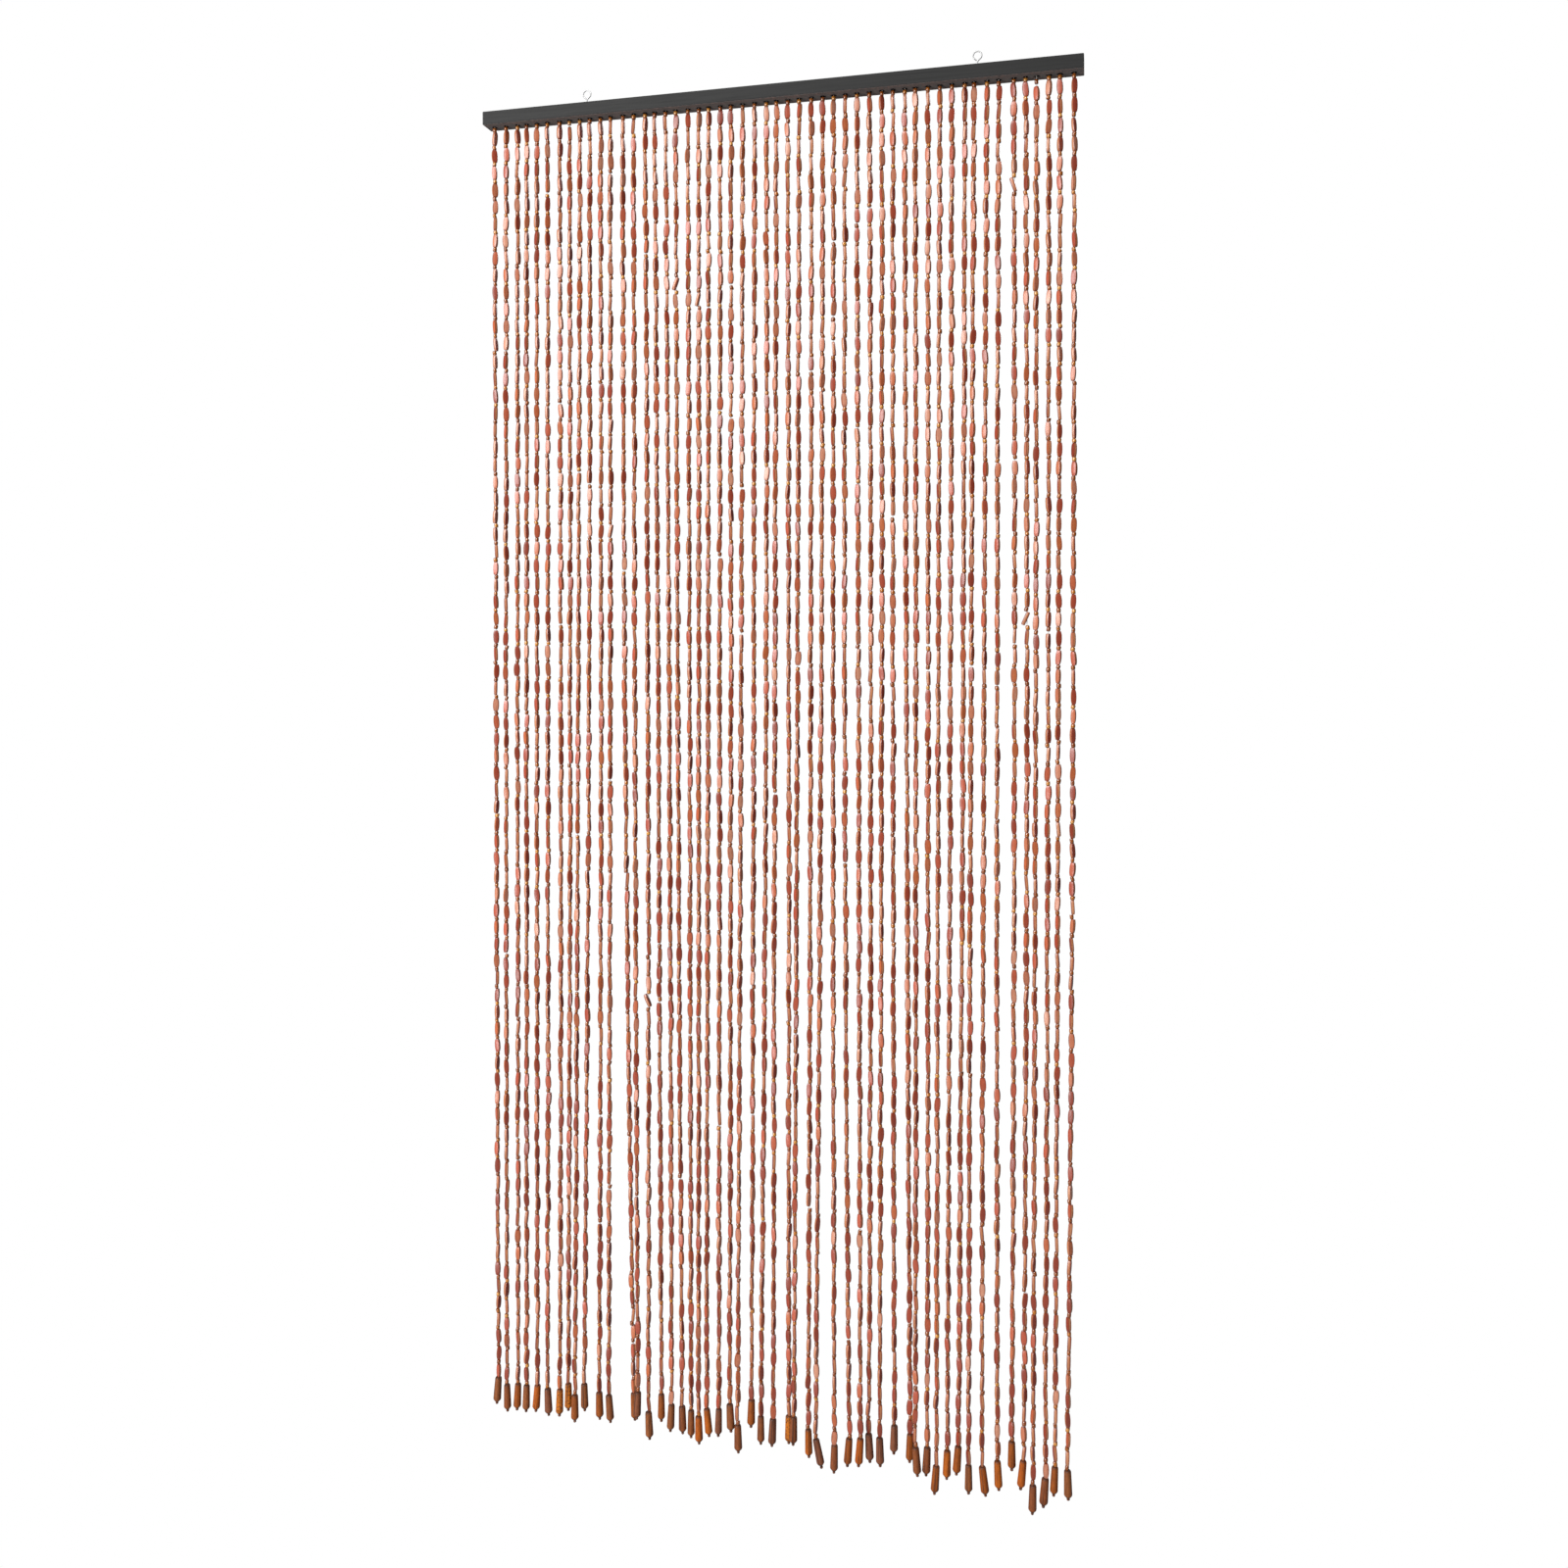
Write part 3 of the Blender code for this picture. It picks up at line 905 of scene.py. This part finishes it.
@dataclass(frozen=True)
class LacqueredWood:
    """Stained wood under lacquer, for beads.

    Attributes:
        name: the material's name.
        tints: (place, colour) stops, one colour for each bead by its tint.
        dark: colour of the grain, clouds, speckles and streaks, and of the painted shade round the
            thread hole and along the corners.
        end_shade_share: how much of it shows round the hole, as painted shade.
        grain: how much the grain darkens the wood.
        roughness: of the wood.
        coat: weight of the lacquer.
        coat_roughness: of the lacquer.
        pale: colour of the narrow sides.
        pale_share: how much of it shows there.
        outline_shade_share: how much of the dark colour shows along the corners, as painted shade that
            outlines the bead.
        mottle: how dark the burnt speckles of the last tint are.
        streak: how dark the broad streaks along the bead are.
        specular: the bare wood's own shine, from 0 to 1.
        grain_scale: repeats of the grain in a metre, around and along the bead. The other
            three scales are the clouds', the speckles' and the streaks'.
    """

    name: str
    tints: tuple[tuple[float, Triple], ...]
    dark: Triple
    end_shade_share: float
    grain: float
    roughness: float
    coat: float
    coat_roughness: float
    pale: Triple = (0.5, 0.2, 0.1)
    pale_share: float = 0.0
    outline_shade_share: float = 0.0
    mottle: float = 0.0
    streak: float = 0.0
    specular: float = 0.5
    grain_scale: Triple = (1500, 110, 1)
    cloud_scale: Triple = (260, 90, 1)
    speckle_scale: Triple = (430, 330, 1)
    streak_scale: Triple = (330, 11, 1)

    def build(self) -> bpy.types.Material:
        """Return the material.

        The bead's tint picks a colour. Fine lines of grain run along the bead, the narrow
        sides are paler, the ends darken as painted shade round the thread hole, the corners
        darken as painted shade that outlines the bead, and a mottled kind has burnt speckles.
        """
        look = Look(self.name)
        tint, edge, end = look.shade()
        base = look.ramp(tint, self.tints)
        lines = look.noise(look.chart(self.grain_scale), 4, 0.6)
        cloud = look.noise(look.chart(self.cloud_scale), 2)
        if self.pale_share:
            side = look.product(look.span(edge, 0.80, 0.92, 0, 1), self.pale_share)
            base = look.mix(side, base, self.pale)
        # Painted shade: the corners darken, drawing a dark outline round the bead.
        if self.outline_shade_share:
            outline_shade = look.product(look.span(edge, 0.62, 0.78, 0, 1), look.span(edge, 0.82, 0.92, 1, 0))
            base = look.mix(look.product(outline_shade, self.outline_shade_share), base, self.dark)
        grained = look.mix(look.span(lines, 0.4, 0.7, 0, self.grain), base, self.dark)
        clouded = look.mix(look.span(cloud, 0.35, 0.75, 0, self.grain * 0.8), grained, self.dark)
        if self.mottle:
            speckle = look.noise(look.chart(self.speckle_scale), 3, 0.65)
            burnt = look.span(speckle, 0.53, 0.60, 0, self.mottle)
            spots = look.product(burnt, look.span(tint, 0.88, 0.94, 0, 1))
            clouded = look.mix(spots, clouded, self.dark)
        if self.streak:
            band = look.noise(look.chart(self.streak_scale), 2)
            clouded = look.mix(look.span(band, 0.53, 0.68, 0, self.streak), clouded, self.dark)
        # Painted shade: the ends darken round the thread hole, where beads meet.
        end_shaded = look.mix(look.product(end, self.end_shade_share), clouded, self.dark)
        look.join(end_shaded, look.shader.inputs["Base Color"])
        rough = look.span(lines, 0.3, 0.7, self.roughness - 0.06, self.roughness + 0.08)
        look.join(rough, look.shader.inputs["Roughness"])
        look.set(
            Coat_Weight=self.coat,
            Coat_Roughness=self.coat_roughness,
            Specular_IOR_Level=self.specular,
        )
        look.bump(lines, 0.06 * MM, 0.5)
        return look.material


@dataclass(frozen=True)
class PaintedWood:
    """Dark grey paint on a planed rail, thin enough to show the grain of the wood.

    Attributes:
        name: the material's name.
        paint: the colour of the paint.
        bare_wood_and_light: the colour of bare wood on the rough underside, where drilling broke the
            paint, made lighter as painted light.
        lit_underside_paint: the colour of the paint there, much lighter than the paint, as painted
            light.
    """

    name: str
    paint: Triple
    bare_wood_and_light: Triple
    lit_underside_paint: Triple

    def build(self, underside: float) -> bpy.types.Material:
        """Return the material.

        Args:
            underside: the height of the rail's underside, round which the paint is rough.

        Returns:
            Paint with fine lines of grain along X, faint clouds, and brown and black
            speckles on the underside, whose paint is much lighter as painted light.
        """
        look = Look(self.name)
        lines = look.noise(look.place((14, 900, 900)), 6, 0.62)
        cloud = look.noise(look.place((9, 60, 60)), 3)
        dark = tuple(channel * 0.55 for channel in self.paint)
        light = tuple(channel * 1.25 for channel in self.paint)
        grained = look.mix(look.span(lines, 0.45, 0.75, 0, 0.55), self.paint, dark)
        clouded = look.mix(look.span(cloud, 0.4, 0.8, 0, 0.35), grained, light)

        coordinates = look.add("ShaderNodeTexCoord")
        parted = look.add("ShaderNodeSeparateXYZ")
        look.join(coordinates.outputs["Object"], parted.inputs[0])
        # The underside is much lighter than the rest of the paint: painted light, over brown speckles of
        # bare wood.
        below = look.span(parted.outputs["Z"], underside + 0.15 * MM, underside + 0.6 * MM, 1, 0)
        speckle = look.noise(look.place((300, 300, 300)), 5, 0.75)
        rough = look.mix(look.span(speckle, 0.47, 0.60, 0, 1), self.lit_underside_paint, self.bare_wood_and_light)
        painted = look.mix(look.product(below, 0.85), clouded, rough)
        look.join(painted, look.shader.inputs["Base Color"])
        look.join(look.span(lines, 0.3, 0.8, 0.55, 0.72), look.shader.inputs["Roughness"])
        look.set(Specular_IOR_Level=0.2)
        look.bump(lines, 0.08 * MM, 0.4)
        return look.material


@dataclass(frozen=True)
class PlatedWire:
    """Bright plated steel wire.

    Attributes:
        name: the material's name.
        colour: of the plating.
    """

    name: str
    colour: Triple

    def build(self) -> bpy.types.Material:
        """Return the material: metal with faint drawn lines along the wire and dull clouds."""
        look = Look(self.name)
        lines = look.noise(look.chart((4000, 120, 1)), 3)
        cloud = look.noise(look.place((400, 400, 400)), 3)
        dull = tuple(channel * 0.72 for channel in self.colour)
        clouded = look.mix(look.span(cloud, 0.4, 0.7, 0, 0.6), self.colour, dull)
        look.join(clouded, look.shader.inputs["Base Color"])
        look.join(look.span(lines, 0.3, 0.7, 0.34, 0.5), look.shader.inputs["Roughness"])
        look.set(Metallic=0.5)
        look.bump(lines, 0.02 * MM, 0.4)
        return look.material


@dataclass(frozen=True)
class TwistedThread:
    """Pale nylon thread, laid up from plies.

    Attributes:
        name: the material's name.
        colour: of the nylon.
        ply: length of one ply's stripe, in metres.
    """

    name: str
    colour: Triple
    ply: float

    def build(self) -> bpy.types.Material:
        """Return the material: slanting stripes of plies, by a wave over the chart."""
        look = Look(self.name)
        wave = look.add("ShaderNodeTexWave", wave_type="BANDS", bands_direction="DIAGONAL")
        wave.inputs["Scale"].default_value = 1.0
        wave.inputs["Distortion"].default_value = 0.6
        turns = 0.35 / self.ply
        look.join(look.chart((turns, turns, 1)), wave.inputs["Vector"])
        shadow = tuple(channel * 0.62 for channel in self.colour)
        striped = look.mix(wave.outputs["Fac"], shadow, self.colour)
        look.join(striped, look.shader.inputs["Base Color"])
        look.set(Roughness=0.45, Sheen_Weight=0.2)
        look.bump(wave.outputs["Fac"], 0.08 * MM)
        return look.material


LONG_WOOD = LacqueredWood(
    name="long_bead_wood",
    tints=(
        (0.0, (0.20, 0.026, 0.008)),
        (0.18, (0.32, 0.046, 0.018)),
        (0.42, (0.45, 0.092, 0.043)),
        (0.6, (0.46, 0.122, 0.034)),
        (0.8, (0.49, 0.180, 0.098)),
        (1.0, (0.58, 0.275, 0.170)),
    ),
    pale=(0.50, 0.230, 0.095),
    pale_share=0.75,
    dark=(0.20, 0.027, 0.008),
    end_shade_share=0.8,
    outline_shade_share=0.85,
    grain=0.34,
    roughness=0.42,
    coat=0.7,
    coat_roughness=0.3,
)
ROUND_WOOD = LacqueredWood(
    name="round_bead_wood",
    tints=(
        (0.0, (0.20, 0.046, 0.002)),
        (0.4, (0.31, 0.082, 0.003)),
        (0.8, (0.45, 0.150, 0.006)),
        (1.0, (0.62, 0.290, 0.045)),
    ),
    dark=(0.18, 0.038, 0.002),
    end_shade_share=0.95,
    grain=0.2,
    roughness=0.25,
    coat=1.0,
    coat_roughness=0.1,
)
END_WOOD = LacqueredWood(
    name="end_bead_wood",
    tints=(
        (Tone.MAUVE.value, (0.215, 0.070, 0.031)),
        (Tone.BROWN.value, (0.235, 0.062, 0.015)),
        (Tone.TAN.value, (0.26, 0.080, 0.021)),
        (Tone.RUST.value, (0.29, 0.068, 0.005)),
        (Tone.ORANGE.value, (0.41, 0.086, 0.002)),
        (Tone.MOTTLED.value, (0.55, 0.155, 0.007)),
    ),
    dark=(0.03, 0.010, 0.005),
    end_shade_share=0.9,
    grain=0.4,
    roughness=0.62,
    coat=0.06,
    coat_roughness=0.25,
    mottle=0.9,
    streak=0.8,
    specular=0.25,
)
RAIL_PAINT = PaintedWood(
    name="rail_paint",
    paint=(0.0165, 0.0165, 0.0162),
    bare_wood_and_light=(0.22, 0.165, 0.15),
    lit_underside_paint=(0.135, 0.130, 0.127),
)
# Near-black rims: torn wood, and painted shade in the holes' mouths.
TORN_RIM_AND_SHADE = LacqueredWood(
    name="torn_rim_and_hole_shade",
    tints=((0.0, (0.012, 0.008, 0.007)), (1.0, (0.03, 0.02, 0.016))),
    dark=(0.003, 0.002, 0.002),
    end_shade_share=0.0,
    grain=0.8,
    roughness=0.85,
    coat=0.0,
    coat_roughness=0.3,
)
EYE_STEEL = PlatedWire("eye_steel", (0.50, 0.50, 0.50))
NYLON = TwistedThread("nylon_thread", (0.80, 0.77, 0.70), 0.8 * MM)


def adopt(piece: bpy.types.Object, slot: str, *nodes: str) -> None:
    """Let a piece ride on the curtain and stand for solids, hiding them."""
    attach(piece, BODY)
    if nodes:
        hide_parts(*nodes)
    faces = sum(len(polygon.vertices) - 2 for polygon in piece.data.polygons)
    LOG.info("%s: %d triangles", piece.name, faces)


@dataclass
class ScrewEye:
    """One screw eye of bent wire, at the place of its solid.

    Attributes:
        node: the solid that it stands for.
        name: the piece's name.
    """

    node: str
    name: str
    wire: float = 1.9 * MM
    ring_radius: float = 6.0 * MM
    neck_below_ring: float = 8.0 * MM
    neck_round: float = 1.6 * MM
    wire_stop: float = 1.9 * MM
    sides: int = 14

    def route(self) -> np.ndarray:
        """Return (steps, 2) points across and up from the ring's centre.

        The shank is straight. A quadratic bend leads from it into the tangent of the ring,
        the ring is an arc of its radius, and the same tangent on the left leads back down to
        the neck.
        """
        low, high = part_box(self.node)
        centre = high.z - self.wire / 2 - self.ring_radius
        shank_end = np.array([0, low.z - centre])
        neck = np.array([0, -self.neck_below_ring])
        slope = math.asin(self.ring_radius / self.neck_below_ring)
        outwards = np.array([math.sin(slope), math.cos(slope)])
        bend_from = neck - [0, self.neck_round]
        bend_to = neck + outwards * self.neck_round
        shank = np.linspace(shank_end, bend_from, 12)[:-1]
        t = np.linspace(0, 1, 7)[:, None]
        bend = (1 - t) ** 2 * bend_from + 2 * t * (1 - t) * neck + t**2 * bend_to
        angle = np.linspace(-slope, math.pi + slope, 56)
        ring = np.column_stack([np.cos(angle), np.sin(angle)]) * self.ring_radius
        left = neck + np.array([-outwards[0], outwards[1]]) * self.wire_stop
        tail = np.linspace(ring[-1], left, 6)[1:]
        return np.concatenate([shank, bend, ring, tail])

    def build(self, material: bpy.types.Material) -> bpy.types.Object:
        """Return the eye as a tube along its route, with its point and its end rounded."""
        low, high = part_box(self.node)
        centre_x = (low.x + high.x) / 2
        centre_z = high.z - self.wire / 2 - self.ring_radius
        route = self.route()
        path = np.zeros((len(route), 3))
        path[:, ::2] = route + [centre_x, centre_z]
        radius = np.full(len(path), self.wire / 2)
        radius[-1] *= 0.75
        radius[0] *= 0.3
        across = np.array([0.0, 1.0, 0.0])
        surface = tube(path[None], radius[None], across, self.sides)
        return surface.to_object(self.name, material, crease=60)


@dataclass
class ThreadRun:
    """The threads that run on along the groove between two eyes, with a knot at each hole.

    Attributes:
        rail: the rail whose groove they lie in.
        group: which run it is.
        strings: indices of its strings.
    """

    rail: Rail
    group: Group
    strings: range
    thickness: float = 1.1 * MM
    above_floor: float = 1.1 * MM
    holes_in_turn: float = 0.8
    swing: float = 0.9 * MM
    rise: float = 0.22 * MM
    knot_width: float = 3.0 * MM
    knot_height: float = 1.5 * MM
    plies: int = 3

    def build(self, material: bpy.types.Material) -> list[bpy.types.Object]:
        """Return the run of threads and its knots.

        Thread k of n lies at y = swing cos(2 pi (x / turn + k / n)) and rises by rise times
        the sine of the same angle, so that the threads twist loosely round each other.
        """
        short = self.group.value.replace("strings_", "")
        holes = np.array([self.rail.hole_x(index) for index in self.strings])
        x = np.linspace(holes[0], holes[-1], 12 * len(holes))
        middle = self.rail.groove_floor + self.above_floor
        phase = np.arange(self.plies)[:, None] / self.plies
        angle = 2 * np.pi * (x[None] / (self.holes_in_turn * HOLE_PITCH) + phase)
        y = self.swing * np.cos(angle)
        z = middle + self.rise * np.sin(angle)
        path = np.stack([np.broadcast_to(x, y.shape), y, z], axis=-1)
        radius = np.full(y.shape, self.thickness / 2)
        run = tube(path, radius, np.array([0.0, 0.0, 1.0]), 8)
        pieces = [run.to_object(f"thread_run_{short}", material)]

        count = len(holes)
        rng = np.random.default_rng((SEED, count))
        centre = np.column_stack([holes, np.zeros(count), np.full(count, middle)])
        size = np.tile([self.knot_width, self.knot_width, self.knot_height], (count, 1))
        size *= rng.uniform(0.9, 1.05, (count, 1))
        turn = rng.uniform(0, np.pi, count)
        places = Places(centre, turn, np.zeros((count, 2)), size, rng.random(count))
        pieces.append(STOPPER_BEAD.surface(places).to_object(f"thread_knots_{short}", material))
        return pieces


@dataclass
class Studio:
    """Plain pale floor, soft light and the camera at the photo's place.

    Attributes:
        rail: the rail, whose left end and top the camera's place is measured from.
        floor_height: the height of the floor.
    """

    rail: Rail
    floor_height: float
    frame_pixels: float = 1600
    lens_pixels: float = 1327
    horizon_row: float = 618.7
    sensor: float = 36
    turned_left: float = 13.68
    right_of_rail_end: float = 0.922
    before_rail: float = 1.830
    below_rail_top: float = 0.7595
    ambient: float = 0.09
    floor_reach: float = 3.4

    def camera(self) -> None:
        """Set up a level camera whose frame is shifted down to take in the curtain."""
        data = bpy.data.cameras.new("camera")
        data.sensor_width = self.sensor
        data.lens = self.sensor * self.lens_pixels / self.frame_pixels
        data.shift_y = (self.horizon_row - self.frame_pixels / 2) / self.frame_pixels
        data.clip_end = 100
        item = bpy.data.objects.new("camera", data)
        item.location = (
            self.rail.low.x + self.right_of_rail_end,
            self.rail.low.y - self.before_rail,
            self.rail.high.z - self.below_rail_top,
        )
        item.rotation_euler = (math.radians(90), 0, math.radians(self.turned_left))
        bpy.context.scene.collection.objects.link(item)
        bpy.context.scene.camera = item

    def light(self, name: str, place: Triple, aim: Triple, size: float, power: float) -> None:
        """Add a square soft light.

        Args:
            name: the light's name.
            place: where it stands.
            aim: the point that it faces.
            size: the length of its side.
            power: in watts.
        """
        data = bpy.data.lights.new(name, "AREA")
        data.size = size
        data.energy = power
        item = bpy.data.objects.new(name, data)
        item.location = place
        item.rotation_euler = (Vector(aim) - Vector(place)).to_track_quat("-Z", "Y").to_euler()
        bpy.context.scene.collection.objects.link(item)

    def world(self) -> None:
        """Make the surroundings white to the eye and a softer white as light."""
        world = bpy.data.worlds.new("surroundings")
        world.use_nodes = True
        nodes, links = world.node_tree.nodes, world.node_tree.links
        soft = nodes["Background"]
        soft.inputs["Color"].default_value = (1, 1, 1, 1)
        soft.inputs["Strength"].default_value = self.ambient
        seen = nodes.new("ShaderNodeBackground")
        seen.inputs["Color"].default_value = (1, 1, 1, 1)
        kind = nodes.new("ShaderNodeLightPath")
        choice = nodes.new("ShaderNodeMixShader")
        links.new(kind.outputs["Is Camera Ray"], choice.inputs["Fac"])
        links.new(soft.outputs["Background"], choice.inputs[1])
        links.new(seen.outputs["Background"], choice.inputs[2])
        links.new(choice.outputs["Shader"], nodes["World Output"].inputs["Surface"])
        bpy.context.scene.world = world

    def broad_light(self, name: str, towards: Triple, angle: float, power: float) -> None:
        """Add a broad light that falls alike on every string.

        Args:
            name: the light's name.
            towards: the direction that it shines from.
            angle: how wide it is in the sky, in degrees.
            power: its strength.
        """
        data = bpy.data.lights.new(name, "SUN")
        data.energy = power
        data.angle = math.radians(angle)
        item = bpy.data.objects.new(name, data)
        item.rotation_euler = Vector(towards).to_track_quat("Z", "Y").to_euler()
        bpy.context.scene.collection.objects.link(item)

    def floor(self) -> None:
        """Lay a pale floor under the strings, which the eye sees as white as the surroundings.

        To every other ray it is a dull grey, so that little light comes up from it.
        """
        look = Look("pale_floor")
        seen = look.add("ShaderNodeLightPath").outputs["Is Camera Ray"]
        cloud = look.noise(look.place((0.8, 0.8, 0.8)), 3)
        dull = look.mix(look.span(cloud, 0.3, 0.7, 0, 1), (0.34, 0.34, 0.34), (0.30, 0.30, 0.30))
        look.join(look.mix(seen, dull, (0.0, 0.0, 0.0)), look.shader.inputs["Base Color"])
        look.join(seen, look.shader.inputs["Emission Strength"])
        look.shader.inputs["Emission Color"].default_value = (1, 1, 1, 1)
        look.set(Roughness=0.9, Specular_IOR_Level=0.0)
        mesh = bpy.data.meshes.new("floor")
        reach, height = self.floor_reach, self.floor_height
        signs = ((-1, -1), (1, -1), (1, 1), (-1, 1))
        corners = [(x * reach, y * reach, height) for x, y in signs]
        mesh.from_pydata(corners, [], [(0, 1, 2, 3)])
        mesh.materials.append(look.material)
        floor = bpy.data.objects.new("floor", mesh)
        bpy.context.scene.collection.objects.link(floor)

    def build(self) -> None:
        """Set up the whole studio."""
        self.camera()
        self.world()
        self.floor()
        self.broad_light("front_light", (-0.28, -0.70, 0.66), 30, 2.35)
        self.broad_light("back_light", (0.1, 0.8, 0.6), 50, 1.8)
        self.light("front_panel", (-1.8, -2.4, 0.15), (-0.1, 0, -0.2), 1.9, 102)
        self.light("low_panel", (-1.2, -2.0, -2.0), (-0.5, 0, -0.9), 0.8, 21)
        bpy.context.scene.view_settings.view_transform = "Standard"
        bpy.context.scene.view_settings.look = "None"


@dataclass
class Curtain:
    """The whole curtain: the rail, its eyes, the thread runs and the bead strings."""

    rail: Rail = field(default_factory=Rail.from_frame)

    def paint_rail(self) -> None:
        """Give the rail's solid its paint."""
        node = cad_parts["rail"]
        material = RAIL_PAINT.build(self.rail.low.z)
        for slot in node.material_slots:
            slot.material = material
        LOG.info("rail: painted")
        adopt(HoleRims(self.rail).build(TORN_RIM_AND_SHADE.build()), "rail_paint")

    def add_eyes(self) -> None:
        """Set the two screw eyes."""
        material = EYE_STEEL.build()
        for side in ("left", "right"):
            piece = ScrewEye(f"eye_{side}", f"screw_eye_{side}").build(material)
            adopt(piece, "eye_steel", f"eye_{side}")

    def add_thread_runs(self, material: bpy.types.Material) -> None:
        """Lay the threads in the rail's groove."""
        for group in Group:
            own = [section for section in SECTIONS if section.group is group]
            run = ThreadRun(self.rail, group, range(own[0].first, own[-1].last + 1))
            for piece in run.build(material):
                adopt(piece, "thread", group.value)

    def add_section(self, section: Section, materials: dict[str, bpy.types.Material]) -> None:
        """Thread and hang one section of strings.

        Args:
            section: which strings.
            materials: the finish of each kind of piece, by its name.
        """
        strings = [BeadString(self.rail, index) for index in section.strings()]
        columns = [string.beads() for string in strings]
        kinds = (
            ("long_beads", LONG_BEAD, [long for long, _ in columns], "bead_wood"),
            ("round_beads", ROUND_BEAD, [small for _, small in columns], "round_bead"),
            ("end_beads", END_BEAD, [string.end() for string in strings], "end_bead"),
            ("stopper_beads", STOPPER_BEAD, [string.stopper() for string in strings], "end_bead"),
        )
        for kind, form, places, slot in kinds:
            surface = form.surface(Places.joined(places))
            piece = surface.to_object(f"{kind}_{section.number}", materials[kind])
            adopt(piece, slot, section.group.value)

        path = np.stack([string.thread(80) for string in strings])
        radius = np.full(path.shape[:2], 0.5 * MM)
        threads = tube(path, radius, np.array([0.0, 1.0, 0.0]), 5)
        piece = threads.to_object(f"threads_{section.number}", materials["threads"])
        adopt(piece, "thread", section.group.value)

    def build(self) -> None:
        """Build and dress every piece."""
        self.paint_rail()
        self.add_eyes()
        materials = {
            "long_beads": LONG_WOOD.build(),
            "round_beads": ROUND_WOOD.build(),
            "end_beads": END_WOOD.build(),
            "threads": NYLON.build(),
        }
        materials["stopper_beads"] = materials["end_beads"]
        self.add_thread_runs(materials["threads"])
        for section in SECTIONS:
            self.add_section(section, materials)


def main() -> None:
    """Dress the curtain and set up its studio."""
    logging.basicConfig(level=logging.INFO, format="%(name)s: %(message)s")
    curtain = Curtain()
    curtain.build()
    Studio(curtain.rail, CAD_BOX[0].z - FLOOR_GAP).build()


if __name__ == "__main__":
    main()
